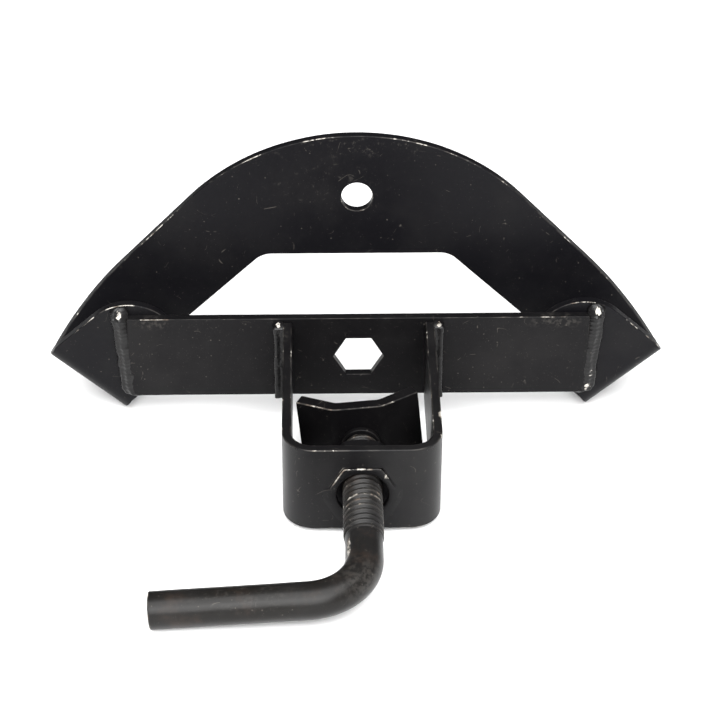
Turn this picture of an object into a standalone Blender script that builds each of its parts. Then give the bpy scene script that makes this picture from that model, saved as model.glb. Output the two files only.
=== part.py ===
"""Spare tire carrier: a folded steel wheel plate on a crossbar, and a U strap whose J-handled screw
drives a swivelling saddle that clamps an upright post.

Metres, +Z up, +Y towards the wheel, +X to the right of someone who faces the handle. The origin is on
the crossbar's clamping face, centred, midway between its lower edge and the hexagonal hole.
"""

import math

import bmesh
import bpy
from mathutils import Vector

MM = 0.001
GAP = 0.3 * MM  # between pieces that touch

STEEL = 4.76 * MM  # 3/16 in plate and flat bar

# Crossbar: 2 x 3/16 in flat bar, with a hexagonal hole that stops a wheel bolt's head from turning
BAR_LENGTH = 251.4 * MM
BAR_HEIGHT = 50.8 * MM
BAR_HEX_FLATS = 23.8 * MM
BAR_LOW = -6.75 * MM  # height of the lower edge
BAR_MIDDLE = BAR_LOW + BAR_HEIGHT / 2

# Wheel plate: heights are above the crossbar's lower edge, in the plate's flat part
CROWN_RADIUS = 124.8 * MM
CROWN_CENTRE = 15.5 * MM
LEG_SLOPE = math.radians(46.4)  # outer edges of the legs, below the horizontal
WINDOW_TOP = 65.6 * MM
WINDOW_HALF_TOP = 51.6 * MM  # to the corner where the top edge and the 45 degree edge would meet
WINDOW_CORNER_RADIUS = 13 * MM
WINDOW_LOW = (95.0 * MM, 23.3 * MM)  # where the leg starts to widen towards its fold
WHEEL_HOLE_RADIUS = 8.4 * MM
WHEEL_HOLE_STRETCH = 0.7 * MM  # the hole is this much taller than it is wide
WHEEL_HOLE_SIDE = 0.6 * MM  # to the right of the plate's middle
WHEEL_HOLE_HEIGHT = 102.2 * MM
LEG_FLAT = 57.8 * MM  # along the leg, from the end of the crown's arc to the start of the bend
BEND_RADIUS = 59.8 * MM  # the long bend that brings each leg forward
BEND_ANGLE = math.radians(55.3)
FOLD_RADIUS = 3.8 * MM  # inside radius of the fold at the tip
FOLD_SKEW = math.radians(-1.3)  # of the fold line from square to the leg
FOLD_OUTER, FOLD_INNER = -2.8 * MM, 51.1 * MM  # across the leg, where it enters the fold
TAB_CENTRE = (124.0 * MM, 30.0 * MM)  # centre of the tab's round end
TAB_RADIUS = 27.0 * MM
TAB_SLOPE = math.radians(42.5)
TAB_FACE = STEEL + GAP  # the tabs lie behind the crossbar
PLATE_SHIFT = -1.0 * MM  # the plate is welded on a little left of the crossbar's middle

# Clamp strap: the same flat bar bent to a U, set a little lower than the crossbar
STRAP_WIDTH = 82.0 * MM
STRAP_DEPTH = 114.6 * MM  # crossbar face to the strap's front face
STRAP_DROP = 2.0 * MM
STRAP_RADIUS = 11.7 * MM  # inside

# Screw: 3/4 in rod with a rolled thread, bent to a handle
SCREW_Z = BAR_LOW + 20.2 * MM
ROD_RADIUS = 9.55 * MM
THREAD_RADIUS = 10.25 * MM
THREAD_ROOT = 8.75 * MM
THREAD_PITCH = 4.0 * MM
THREAD_OUTSIDE = 35.6 * MM  # thread in front of the strap
HANDLE_FORWARD = 78.9 * MM  # strap's front face to the handle's axis
HANDLE_REACH = 105.3 * MM
HANDLE_BEND = 28.0 * MM  # centreline
HANDLE_DROOP = math.radians(4.0)
ROUND = 20  # facets round the rod

# Nut: a long hexagon nut welded into the strap's front wall
NUT_FLATS = 33.3 * MM
NUT_LENGTH = 25.4 * MM
NUT_PROUD = 0.3 * MM
NUT_MOUTH_RADIUS = 13.5 * MM
NUT_MOUTH_DEPTH = 4.4 * MM
NUT_BEAD = 1.5 * MM

# Saddle: a plate bent to three flats, hollow side to the post
SADDLE_FACE = -63.6 * MM  # rear face of the middle flat
SADDLE_STEEL = 6.6 * MM
SADDLE_HEIGHT = 44.4 * MM
SADDLE_HALF_WIDTH = 29.3 * MM  # rear face
SADDLE_HALF_FLAT = 11.3 * MM
SADDLE_WING = math.radians(27.0)
SADDLE_BEND = 6.0 * MM  # inside radius of its two bends
SADDLE_ROLL = math.radians(5.5)  # as it hangs, right side up
PIN_RADIUS = 6.0 * MM
PIN_HEAD_RADIUS = 9.0 * MM
PIN_SINK = 3.0 * MM  # depth of the countersink that the riveted pin fills
WASHER_RADIUS = 10.2 * MM
WASHER_THICKNESS = 3.0 * MM

BLACK = (0.028, 0.028, 0.031, 1.0)
WELD_BLACK = (0.036, 0.035, 0.036, 1.0)


def clear_scene():
    for thing in list(bpy.data.objects):
        bpy.data.objects.remove(thing, do_unlink=True)


def material(name, colour):
    made = bpy.data.materials.new(name)
    made.use_nodes = True
    shader = made.node_tree.nodes["Principled BSDF"]
    shader.inputs["Base Color"].default_value = colour
    shader.inputs["Roughness"].default_value = 0.4
    made.diffuse_color = colour
    return made


def add_node(name, bm, colour, pivot=(0.0, 0.0, 0.0)):
    """The bmesh as an object whose origin is at pivot."""
    bmesh.ops.translate(bm, verts=bm.verts, vec=-Vector(pivot))
    bmesh.ops.recalc_face_normals(bm, faces=bm.faces)
    mesh = bpy.data.meshes.new(name)
    bm.to_mesh(mesh)
    bm.free()
    mesh.materials.append(material(name + "_paint", colour))
    made = bpy.data.objects.new(name, mesh)
    made.location = pivot
    bpy.context.scene.collection.objects.link(made)
    return made


def arc(cx, cy, radius, start, end, steps):
    """Points on an arc, both ends included."""
    turns = [start + (end - start) * i / steps for i in range(steps + 1)]
    return [(cx + radius * math.cos(a), cy + radius * math.sin(a)) for a in turns]


def rounded_corner(corner, before, after, radius, steps):
    """The arc that replaces a corner between the directions towards before and after."""
    c, b, a = Vector(corner), Vector(before), Vector(after)
    ub, ua = (b - c).normalized(), (a - c).normalized()
    half = ub.angle(ua) / 2
    reach = radius / math.tan(half)
    centre = c + (ub + ua).normalized() * (radius / math.sin(half))
    start, end = c + ub * reach - centre, c + ua * reach - centre
    first, last = math.atan2(start.y, start.x), math.atan2(end.y, end.x)
    sweep = (last - first + math.pi) % (2 * math.pi) - math.pi
    return arc(centre.x, centre.y, radius, first, first + sweep, steps)


def hexagon(cx, cy, flats, first=0.0):
    """Corners of a hexagon. With first at 0 its flats are at the top and bottom."""
    radius = flats / math.sqrt(3)
    return [
        (cx + radius * math.cos(first + k * math.pi / 3), cy + radius * math.sin(first + k * math.pi / 3))
        for k in range(6)
    ]


def sheet(loops, front, back, cuts=()):
    """A plate cut to loops in the flat, then carried to its two faces by the functions front and back.

    cuts are (point, normal, keep) lines where the plate is divided so that it can bend: keep says
    which faces a line divides, from their centre.
    """
    flat = bmesh.new()
    edges = []
    for loop in loops:
        ring = [flat.verts.new((x, y, 0)) for x, y in loop]
        edges += [flat.edges.new((a, b)) for a, b in zip(ring, ring[1:] + ring[:1])]
    bmesh.ops.triangle_fill(flat, use_beauty=True, edges=edges)
    for point, normal, keep in cuts:
        faces = [f for f in flat.faces if keep(f.calc_center_median())]
        geometry = list({v for f in faces for v in f.verts})
        geometry += list({e for f in faces for e in f.edges}) + faces
        bmesh.ops.bisect_plane(
            flat, geom=geometry, dist=1e-7, plane_co=(*point, 0), plane_no=(*normal, 0)
        )
    solid = bmesh.new()
    sides = []
    for place in (front, back):
        sides.append({v: solid.verts.new(place(v.co.x, v.co.y)) for v in flat.verts})
    for face in flat.faces:
        solid.faces.new([sides[0][v] for v in face.verts])
        solid.faces.new([sides[1][v] for v in reversed(face.verts)])
    for edge in flat.edges:
        if len(edge.link_faces) == 1:
            a, b = edge.verts
            solid.faces.new([sides[0][a], sides[0][b], sides[1][b], sides[1][a]])
    flat.free()
    return solid


def lathe(rings, axis_x, axis_z, steps):
    """A solid turned about an axis along Y: rings are (y, radius), closed at both ends."""
    bm = bmesh.new()
    loops = []
    for y, radius in rings:
        loops.append(
            [
                bm.verts.new((axis_x + radius * math.cos(a), y, axis_z + radius * math.sin(a)))
                for a in (2 * math.pi * k / steps for k in range(steps))
            ]
        )
    join_loops(bm, loops)
    bm.faces.new(loops[0])
    bm.faces.new(list(reversed(loops[-1])))
    return bm


def join_loops(bm, loops):
    for low, high in zip(loops, loops[1:]):
        count = len(low)
        for k in range(count):
            bm.faces.new([low[k], high[k], high[(k + 1) % count], low[(k + 1) % count]])


def flat_map(y):
    return lambda x, z: (x, y, z)


# ---------------------------------------------------------------- wheel plate

LEG_ALONG = Vector((math.cos(LEG_SLOPE), -math.sin(LEG_SLOPE)))
LEG_ACROSS = Vector((-math.sin(LEG_SLOPE), -math.cos(LEG_SLOPE)))
LEG_START = Vector((0, CROWN_CENTRE)) + CROWN_RADIUS * Vector((math.sin(LEG_SLOPE), math.cos(LEG_SLOPE)))
ALONG = LEG_ALONG * math.cos(FOLD_SKEW) - LEG_ACROSS * math.sin(FOLD_SKEW)
ACROSS = LEG_ACROSS * math.cos(FOLD_SKEW) + LEG_ALONG * math.sin(FOLD_SKEW)
BEND_END = LEG_FLAT + (BEND_RADIUS + STEEL / 2) * BEND_ANGLE
FOLD_ANGLE = math.pi - BEND_ANGLE
FOLD_END = BEND_END + (FOLD_RADIUS + STEEL / 2) * FOLD_ANGLE
FOLD_S = LEG_FLAT + (BEND_RADIUS - FOLD_RADIUS) * math.sin(BEND_ANGLE)
FOLD_N = BEND_RADIUS - (BEND_RADIUS - FOLD_RADIUS) * math.cos(BEND_ANGLE)
PLATE_FACE = TAB_FACE + FOLD_N + FOLD_RADIUS + STEEL  # front face of the plate's flat part


def bent(p, depth):
    """Where a point p along the leg goes, as (along, forward), at depth behind the plate's front."""
    if p <= LEG_FLAT:
        return p, -depth
    if p <= BEND_END:
        turn, radius = (p - LEG_FLAT) / (BEND_RADIUS + STEEL / 2), BEND_RADIUS + depth
        return LEG_FLAT + radius * math.sin(turn), BEND_RADIUS - radius * math.cos(turn)
    if p <= FOLD_END:
        turn = BEND_ANGLE + (p - BEND_END) / (FOLD_RADIUS + STEEL / 2)
        radius = FOLD_RADIUS + depth
        return FOLD_S + radius * math.sin(turn), FOLD_N - radius * math.cos(turn)
    return FOLD_S - (p - FOLD_END), FOLD_N + FOLD_RADIUS + depth


def plate_map(depth):
    def place(x, w):
        side = -1 if x < 0 else 1
        from_start = Vector((abs(x), w)) - LEG_START
        along, forward = bent(from_start.dot(ALONG), depth)
        point = LEG_START + along * ALONG + from_start.dot(ACROSS) * ACROSS
        return (side * point.x + PLATE_SHIFT, PLATE_FACE - forward, point.y + BAR_LOW)

    return place


def leg_point(p, q):
    point = LEG_START + p * ALONG + q * ACROSS
    return (point.x, point.y)


def tab_point(point):
    """A point on the finished tab, as a point of the flat plate."""
    from_start = Vector(point) - LEG_START
    return leg_point(FOLD_END + FOLD_S - from_start.dot(ALONG), from_start.dot(ACROSS))


def plate_outline():
    """The right half of the flat plate's outer edge, from the crown's top to the window's top."""
    points = arc(0, CROWN_CENTRE, CROWN_RADIUS, math.pi / 2, math.pi / 2 - LEG_SLOPE, 22)
    points.append(leg_point(LEG_FLAT, LEG_FLAT * math.tan(FOLD_SKEW)))
    points.append(leg_point(BEND_END, FOLD_OUTER))
    up = Vector((-math.cos(TAB_SLOPE), math.sin(TAB_SLOPE)))
    outward = Vector((math.sin(TAB_SLOPE), math.cos(TAB_SLOPE)))
    for side in (1, -1):
        edge = Vector(TAB_CENTRE) + side * TAB_RADIUS * outward
        at_fold = edge + up * ((FOLD_S - (edge - LEG_START).dot(ALONG)) / up.dot(ALONG))
        points.append(tab_point(at_fold))
        if side == 1:
            end = arc(*TAB_CENTRE, TAB_RADIUS, math.pi / 2 - TAB_SLOPE, math.pi * 1.5 - TAB_SLOPE, 22)
            points += [tab_point(point) for point in end]
    points.append(leg_point(BEND_END, FOLD_INNER))
    points.append(WINDOW_LOW)
    corner = (WINDOW_HALF_TOP, WINDOW_TOP)
    points += rounded_corner(corner, WINDOW_LOW, (0, WINDOW_TOP), WINDOW_CORNER_RADIUS, 8)
    return points


def build_wheel_plate():
    right = plate_outline()
    left = [(-x, w) for x, w in reversed(right[1:])]
    start, end = 0.02, 2 * math.pi + 0.02
    hole = [
        (x, w + (WHEEL_HOLE_STRETCH / 2 if w > WHEEL_HOLE_HEIGHT else -WHEEL_HOLE_STRETCH / 2))
        for x, w in arc(WHEEL_HOLE_SIDE, WHEEL_HOLE_HEIGHT, WHEEL_HOLE_RADIUS, start, end, 36)[:-1]
    ]
    cuts = []
    stations = [LEG_FLAT + (BEND_END - LEG_FLAT) * i / 10 for i in range(11)]
    stations += [BEND_END + (FOLD_END - BEND_END) * i / 10 for i in range(1, 11)]
    for side in (1, -1):
        for p in stations:
            x, w = leg_point(p, 0)
            cuts.append(((side * x, w), (side * ALONG.x, ALONG.y), lambda c, s=side: c.x * s > 0.05))
    add_node("wheel_plate", sheet([right + left, hole], plate_map(0), plate_map(STEEL), cuts), BLACK)


# ---------------------------------------------------------------- crossbar, strap and their welds


def build_cross_bar():
    half, top = BAR_LENGTH / 2, BAR_LOW + BAR_HEIGHT
    outline = [(-half, BAR_LOW), (half, BAR_LOW), (half, top), (-half, top)]
    hole = hexagon(0, BAR_MIDDLE, BAR_HEX_FLATS)
    add_node("cross_bar", sheet([outline, hole], flat_map(0), flat_map(STEEL)), BLACK)


STRAP_LOW = BAR_LOW - STRAP_DROP
STRAP_HIGH = STRAP_LOW + BAR_HEIGHT
STRAP_LEG = STRAP_DEPTH - STEEL - STRAP_RADIUS - GAP  # straight part of each leg
STRAP_HALF_FRONT = STRAP_WIDTH / 2 - STEEL - STRAP_RADIUS
STRAP_ARC = (STRAP_RADIUS + STEEL / 2) * math.pi / 2


def strap_map(depth):
    """From (length along the strap's middle, height) to the strap, at depth inside its outer face."""

    def place(length, height):
        side, run = (-1 if length < 0 else 1), abs(length)
        radius = STRAP_RADIUS + STEEL - depth
        x, y = min(run, STRAP_HALF_FRONT), -STRAP_DEPTH + depth
        if run > STRAP_HALF_FRONT:
            turn = min((run - STRAP_HALF_FRONT) / STRAP_ARC, 1.0) * math.pi / 2
            x = STRAP_HALF_FRONT + radius * math.sin(turn)
            y = -STRAP_DEPTH + STEEL + STRAP_RADIUS - radius * math.cos(turn)
            y += max(run - STRAP_HALF_FRONT - STRAP_ARC, 0)
        return (side * x, y, height)

    return place


def build_clamp_strap():
    end = STRAP_HALF_FRONT + STRAP_ARC + STRAP_LEG
    outline = [(-end, STRAP_LOW), (end, STRAP_LOW), (end, STRAP_HIGH), (-end, STRAP_HIGH)]
    hole = hexagon(0, SCREW_Z, NUT_FLATS + 2 * GAP)
    cuts = []
    for side in (1, -1):
        for i in range(9):
            run = STRAP_HALF_FRONT + STRAP_ARC * i / 8
            cuts.append(((side * run, 0), (1, 0), lambda c: True))
    add_node("clamp_strap", sheet([outline, hole], strap_map(0), strap_map(STEEL), cuts), BLACK)


def bead(path, section):
    """A weld bead: section(i, t) gives the corners of its cross-section at path point i."""
    bm = bmesh.new()
    loops = []
    for i, point in enumerate(path):
        t = i / (len(path) - 1)
        loops.append([bm.verts.new(corner) for corner in section(point, t)])
    join_loops(bm, loops)
    bm.faces.new(loops[0])
    bm.faces.new(list(reversed(loops[-1])))
    return bm


def swell(t, low=0.72, rise=0.12):
    """How full a bead is along its length: less at its two ends."""
    return low + (1 - low) * min(1.0, min(t, 1 - t) / rise)


def build_strap_welds():
    for name, side in (("strap_weld_left", -1), ("strap_weld_right", 1)):
        corner_x = side * (STRAP_WIDTH / 2 + GAP)
        low, high = STRAP_LOW + 2.5 * MM, STRAP_HIGH - 1.5 * MM

        def section(z, t):
            size = 6.0 * MM * swell(t) * (1 + 0.25 * max(0.0, t - 0.85) / 0.15)
            face = -GAP
            points = [(0.0, 0.0), (1.0, 0.0), (0.74, 0.34), (0.34, 0.74), (0.0, 1.0)]
            return [(corner_x + side * u * size, face - v * size, z) for u, v in points]

        path = [low + (high - low) * i / 12 for i in range(13)]
        add_node(name, bead(path, section), WELD_BLACK)


def build_end_welds():
    for name, side in (("end_weld_left", -1), ("end_weld_right", 1)):
        end_x = BAR_LENGTH / 2 + GAP
        low, high = BAR_LOW + 1.0 * MM, BAR_LOW + BAR_HEIGHT + 3.0 * MM

        def section(z, t):
            full = swell(t)
            wide = (6.2 + 1.8 * t) * MM * full
            thick = (STEEL + 0.5 * MM) * full
            root = TAB_FACE - GAP
            points = [(0.0, 0.0), (1.0, 0.0), (0.86, 0.42), (0.52, 0.86), (0.16, 1.0), (0.0, 0.96)]
            return [(side * (end_x + u * wide), root - v * thick, z) for u, v in points]

        path = [low + (high - low) * i / 12 for i in range(13)]
        add_node(name, bead(path, section), WELD_BLACK)


# ---------------------------------------------------------------- nut

NUT_FRONT = -STRAP_DEPTH - NUT_PROUD
NUT_BACK = NUT_FRONT + NUT_LENGTH


def build_clamp_nut():
    corners = hexagon(0, 0, NUT_FLATS)
    across, chamfer = NUT_FLATS / 2, 2.0 * MM
    outline = []
    for (ax, az), (bx, bz) in zip(corners, corners[1:] + corners[:1]):
        outline += [(ax + (bx - ax) * i / 6, az + (bz - az) * i / 6) for i in range(6)]
    bore = THREAD_RADIUS + GAP
    bm = bmesh.new()

    def loop(points, y):
        return [bm.verts.new((x, y, SCREW_Z + z)) for x, z in points]

    def ring(radius, y):
        return loop([(x * radius / math.hypot(x, z), z * radius / math.hypot(x, z)) for x, z in outline], y)

    drop = [(math.hypot(x, z) - across) * 0.6 for x, z in outline]
    shoulder = [bm.verts.new((x, NUT_BACK - d, SCREW_Z + z)) for (x, z), d in zip(outline, drop)]
    loops = [
        loop(outline, NUT_FRONT),
        shoulder,
        ring(across - 0.3 * MM, NUT_BACK),
        ring(bore, NUT_BACK),
        ring(bore, NUT_FRONT + NUT_MOUTH_DEPTH + chamfer),
        ring(NUT_MOUTH_RADIUS, NUT_FRONT + NUT_MOUTH_DEPTH),
        ring(NUT_MOUTH_RADIUS, NUT_FRONT),
    ]
    join_loops(bm, loops + loops[:1])
    add_node("clamp_nut", bm, BLACK)


def build_nut_weld():
    """A thin bead round the nut, on the strap's front face."""
    bm = bmesh.new()
    face = -STRAP_DEPTH - GAP
    inner = hexagon(0, SCREW_Z, NUT_FLATS + 2 * GAP)
    outer = hexagon(0, SCREW_Z, NUT_FLATS + 2 * GAP + 2 * NUT_BEAD)
    middle = hexagon(0, SCREW_Z, NUT_FLATS + 2 * GAP + NUT_BEAD)
    loops = []
    for points, y in ((inner, face), (outer, face), (middle, face - 0.6 * MM), (inner, face - 0.5 * MM)):
        loops.append([bm.verts.new((x, y, z)) for x, z in points])
    join_loops(bm, loops + loops[:1])
    add_node("nut_weld", bm, WELD_BLACK)


# ---------------------------------------------------------------- screw, washer and saddle

SADDLE_BACK = SADDLE_FACE - SADDLE_STEEL  # the face towards the screw
WASHER_Y = SADDLE_BACK - GAP - WASHER_THICKNESS
SHOULDER_Y = WASHER_Y - GAP
THREAD_END = -STRAP_DEPTH - THREAD_OUTSIDE


def screw_ring(bm, y, radius):
    turns = (2 * math.pi * k / ROUND for k in range(ROUND))
    return [bm.verts.new((radius * math.cos(a), y, SCREW_Z + radius * math.sin(a))) for a in turns]


def add_thread(bm, start_ring, end_ring, first_y):
    """The helical thread between two plain rings, running towards the handle."""
    profile = ((0.0, THREAD_ROOT), (0.30, THREAD_ROOT), (0.52, THREAD_RADIUS), (0.78, THREAD_RADIUS))
    turns = int((first_y - THREAD_END) / THREAD_PITCH) - 1
    last = turns * len(profile)
    columns = []
    for k in range(ROUND + 1):
        angle = 2 * math.pi * k / ROUND
        column = []
        for i in range(last + 1):
            share, radius = profile[i % len(profile)]
            y = first_y - THREAD_PITCH * (i // len(profile) + share + k / ROUND)
            column.append((y, radius, angle))
        columns.append(column)
    verts = []
    for column in columns[:ROUND]:
        verts.append(
            [bm.verts.new((r * math.cos(a), y, SCREW_Z + r * math.sin(a))) for y, r, a in column]
        )
    # The last column is the first one, a turn further on.
    wrapped = verts[0][len(profile):]
    tail = columns[ROUND][last + 1 - len(profile):]
    wrapped += [bm.verts.new((r * math.cos(a), y, SCREW_Z + r * math.sin(a))) for y, r, a in tail]
    verts.append(wrapped)
    for k in range(ROUND):
        for i in range(last):
            bm.faces.new([verts[k][i], verts[k][i + 1], verts[k + 1][i + 1], verts[k + 1][i]])
    for k in range(ROUND):
        low, high = verts[k][0], verts[k + 1][0]
        after = start_ring[(k + 1) % ROUND]
        if k < ROUND - 1:
            bm.faces.new([start_ring[k], low, high, after])
        else:
            stem = [verts[0][i] for i in range(len(profile) + 1)]
            for a, b in zip(stem, stem[1:]):
                bm.faces.new([low, a, b])
            bm.faces.new([start_ring[k], low, stem[0], after])
    for k in range(ROUND):
        low, high = verts[k][last], verts[k + 1][last]
        after = end_ring[(k + 1) % ROUND]
        if k > 0:
            bm.faces.new([low, end_ring[k], after, high])
        else:
            stem = [low] + [wrapped[i] for i in range(last - len(profile) + 1, last + 1)]
            for a, b in zip(stem, stem[1:]):
                bm.faces.new([high, a, b])
            bm.faces.new([high, stem[-1], end_ring[0], after])


def build_clamp_screw():
    bm = bmesh.new()
    tip, head = SADDLE_FACE - GAP, PIN_HEAD_RADIUS - 0.8 * MM
    before = [
        screw_ring(bm, tip, head),
        screw_ring(bm, tip - (head - PIN_RADIUS), PIN_RADIUS),
        screw_ring(bm, SHOULDER_Y, PIN_RADIUS),
        screw_ring(bm, SHOULDER_Y, THREAD_ROOT - 0.8 * MM),
        screw_ring(bm, SHOULDER_Y - 1.0 * MM, THREAD_ROOT),
    ]
    after = [screw_ring(bm, THREAD_END, ROD_RADIUS)]
    forward, sideways = Vector((0, -1, 0)), Vector((-math.cos(HANDLE_DROOP), 0, -math.sin(HANDLE_DROOP)))
    centre = Vector((0, -STRAP_DEPTH - HANDLE_FORWARD + HANDLE_BEND, SCREW_Z))
    up = forward.cross(sideways)
    stations = []
    for i in range(11):
        turn = math.pi / 2 * i / 10
        at = centre + HANDLE_BEND * (math.sin(turn) * forward + (1 - math.cos(turn)) * sideways)
        stations.append((at, math.cos(turn) * sideways - math.sin(turn) * forward, ROD_RADIUS))
    end = centre + HANDLE_BEND * forward + HANDLE_REACH * sideways
    stations.append((end - 1.0 * MM * sideways, -forward, ROD_RADIUS))
    stations.append((end, -forward, ROD_RADIUS - 0.8 * MM))
    for at, inward, radius in stations:
        ring = []
        for k in range(ROUND):
            angle = 2 * math.pi * k / ROUND
            x, z = math.cos(angle), math.sin(angle)
            # The ring's own axes turn with the bend, and start on X and Z.
            u = x * sideways.x + z * sideways.z
            v = x * up.x + z * up.z
            ring.append(bm.verts.new(at + radius * (u * inward + v * up)))
        after.append(ring)
    join_loops(bm, before)
    add_thread(bm, before[-1], after[0], SHOULDER_Y - 1.4 * MM)
    join_loops(bm, after)
    bm.faces.new(before[0])
    bm.faces.new(list(reversed(after[-1])))
    add_node("clamp_screw", bm, BLACK, pivot=(0, -STRAP_DEPTH, SCREW_Z))


def build_thrust_washer():
    bore, rim = PIN_RADIUS + GAP, WASHER_RADIUS
    bm = bmesh.new()
    loops = []
    for y, radius in ((WASHER_Y, bore), (WASHER_Y, rim), (WASHER_Y + WASHER_THICKNESS, rim),
                      (WASHER_Y + WASHER_THICKNESS, bore)):
        turns = (2 * math.pi * k / 32 for k in range(32))
        loops.append(
            [bm.verts.new((radius * math.cos(a), y, SCREW_Z + radius * math.sin(a))) for a in turns]
        )
    join_loops(bm, loops + loops[:1])
    add_node("thrust_washer", bm, BLACK, pivot=(0, WASHER_Y, SCREW_Z))


def saddle_map(depth):
    """From (length from the middle, height above the screw) to the rolled saddle, at depth from its
    rear face towards the screw."""
    middle = SADDLE_BEND + SADDLE_STEEL / 2
    half = SADDLE_HALF_FLAT - SADDLE_BEND * math.tan(SADDLE_WING / 2)

    def place(length, height):
        side, run = (-1 if length < 0 else 1), abs(length)
        radius = SADDLE_BEND + depth
        x, y = min(run, half), SADDLE_FACE - depth
        if run > half:
            turn = min((run - half) / middle, SADDLE_WING)
            x = half + radius * math.sin(turn)
            y = SADDLE_FACE + SADDLE_BEND - radius * math.cos(turn)
            rest = max(run - half - middle * SADDLE_WING, 0)
            x += rest * math.cos(SADDLE_WING)
            y += rest * math.sin(SADDLE_WING)
        x *= side
        c, s = math.cos(SADDLE_ROLL), math.sin(SADDLE_ROLL)
        return (x * c - height * s, y, SCREW_Z + x * s + height * c)

    return place, half, middle


def build_saddle():
    place_rear, half, middle = saddle_map(0)
    place_front = saddle_map(SADDLE_STEEL)[0]
    end = half + middle * SADDLE_WING
    end += (SADDLE_HALF_WIDTH - SADDLE_HALF_FLAT) / math.cos(SADDLE_WING)
    end -= SADDLE_BEND * math.tan(SADDLE_WING / 2)
    tall = SADDLE_HEIGHT / 2
    outline = [(-end, -tall), (end, -tall), (end, tall), (-end, tall)]
    hole = arc(0, 0, PIN_RADIUS + GAP, 0.05, 2 * math.pi + 0.05, 28)[:-1]
    cuts = []
    for side in (1, -1):
        for i in range(5):
            run = half + middle * SADDLE_WING * i / 4
            cuts.append(((side * run, 0), (1, 0), lambda c: True))
    bm = sheet([outline, hole], place_rear, place_front, cuts)
    pivot = (0, SADDLE_FACE, SCREW_Z)
    saddle = add_node("saddle_pad", bm, BLACK, pivot=pivot)
    sink = lathe(
        [
            (SADDLE_FACE + 1.0 * MM, PIN_HEAD_RADIUS + 1.0 * MM),
            (SADDLE_FACE - PIN_SINK, PIN_RADIUS),
            (SADDLE_FACE - PIN_SINK - 0.4 * MM, PIN_RADIUS - 0.4 * MM),
        ],
        0, SCREW_Z, 28,
    )
    cutter = add_node("saddle_sink", sink, BLACK)
    cutter.hide_render = True
    cutter.display_type = "WIRE"
    cut = saddle.modifiers.new("countersink", "BOOLEAN")
    cut.operation, cut.solver, cut.object = "DIFFERENCE", "EXACT", cutter


clear_scene()
build_wheel_plate()
build_cross_bar()
build_clamp_strap()
build_strap_welds()
build_end_welds()
build_clamp_nut()
build_nut_weld()
build_clamp_screw()
build_thrust_washer()
build_saddle()
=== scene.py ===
import math

import bmesh
import bpy
from mathutils import Matrix, Vector, noise


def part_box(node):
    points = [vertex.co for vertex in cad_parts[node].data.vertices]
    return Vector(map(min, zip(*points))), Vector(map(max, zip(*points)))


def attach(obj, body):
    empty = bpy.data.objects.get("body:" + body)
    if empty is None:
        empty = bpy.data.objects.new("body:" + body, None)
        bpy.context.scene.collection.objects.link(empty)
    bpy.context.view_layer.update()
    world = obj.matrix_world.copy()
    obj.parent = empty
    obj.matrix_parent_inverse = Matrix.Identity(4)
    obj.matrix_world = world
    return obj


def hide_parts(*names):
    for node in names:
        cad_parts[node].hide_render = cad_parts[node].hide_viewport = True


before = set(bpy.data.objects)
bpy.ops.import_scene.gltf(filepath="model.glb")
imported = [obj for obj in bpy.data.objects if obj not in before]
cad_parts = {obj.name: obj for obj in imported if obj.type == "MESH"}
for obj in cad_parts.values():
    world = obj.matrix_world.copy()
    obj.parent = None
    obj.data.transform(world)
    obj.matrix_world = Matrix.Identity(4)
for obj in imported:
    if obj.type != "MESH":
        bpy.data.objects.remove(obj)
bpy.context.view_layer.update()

MM = 0.001

# ------------------------ dimensions, as in the CAD

STEEL = 4.76 * MM
GAP = 0.3 * MM
BAR_LENGTH = 251.4 * MM
BAR_HEIGHT = 50.8 * MM
BAR_HEX_FLATS = 23.8 * MM
BAR_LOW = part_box("cross_bar")[0].z
BAR_HIGH = BAR_LOW + BAR_HEIGHT
BAR_MIDDLE = BAR_LOW + BAR_HEIGHT / 2

CROWN_RADIUS = 124.8 * MM
CROWN_CENTRE = 15.5 * MM
LEG_SLOPE = math.radians(46.4)
WINDOW_TOP = 65.6 * MM
WINDOW_HALF_TOP = 51.6 * MM
WINDOW_CORNER_RADIUS = 13 * MM
WINDOW_LOW = (95.0 * MM, 23.3 * MM)
WHEEL_HOLE_RADIUS = 8.4 * MM
WHEEL_HOLE_STRETCH = 0.7 * MM
WHEEL_HOLE_SIDE = 0.6 * MM
WHEEL_HOLE_HEIGHT = 102.2 * MM
LEG_FLAT = 57.8 * MM
BEND_RADIUS = 59.8 * MM
BEND_ANGLE = math.radians(55.3)
FOLD_RADIUS = 3.8 * MM
FOLD_SKEW = math.radians(-1.3)
FOLD_OUTER, FOLD_INNER = -2.8 * MM, 51.1 * MM
TAB_CENTRE = (124.0 * MM, 30.0 * MM)
TAB_RADIUS = 27.0 * MM
TAB_SLOPE = math.radians(42.5)
TAB_FACE = STEEL + GAP
PLATE_SHIFT = -1.0 * MM

STRAP_WIDTH = 82.0 * MM
STRAP_DEPTH = 114.6 * MM
STRAP_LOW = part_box("clamp_strap")[0].z
STRAP_HIGH = STRAP_LOW + BAR_HEIGHT
STRAP_RADIUS = 11.7 * MM

SCREW_Z = BAR_LOW + 20.2 * MM
ROD_RADIUS = 9.55 * MM
THREAD_RADIUS = 10.25 * MM
THREAD_ROOT = 8.75 * MM
THREAD_PITCH = 4.0 * MM
THREAD_OUTSIDE = 35.6 * MM
HANDLE_FORWARD = 78.9 * MM
HANDLE_REACH = 105.3 * MM
HANDLE_BEND = 28.0 * MM
HANDLE_DROOP = math.radians(4.0)
HANDLE_ROUNDING = 0.9 * MM

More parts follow.
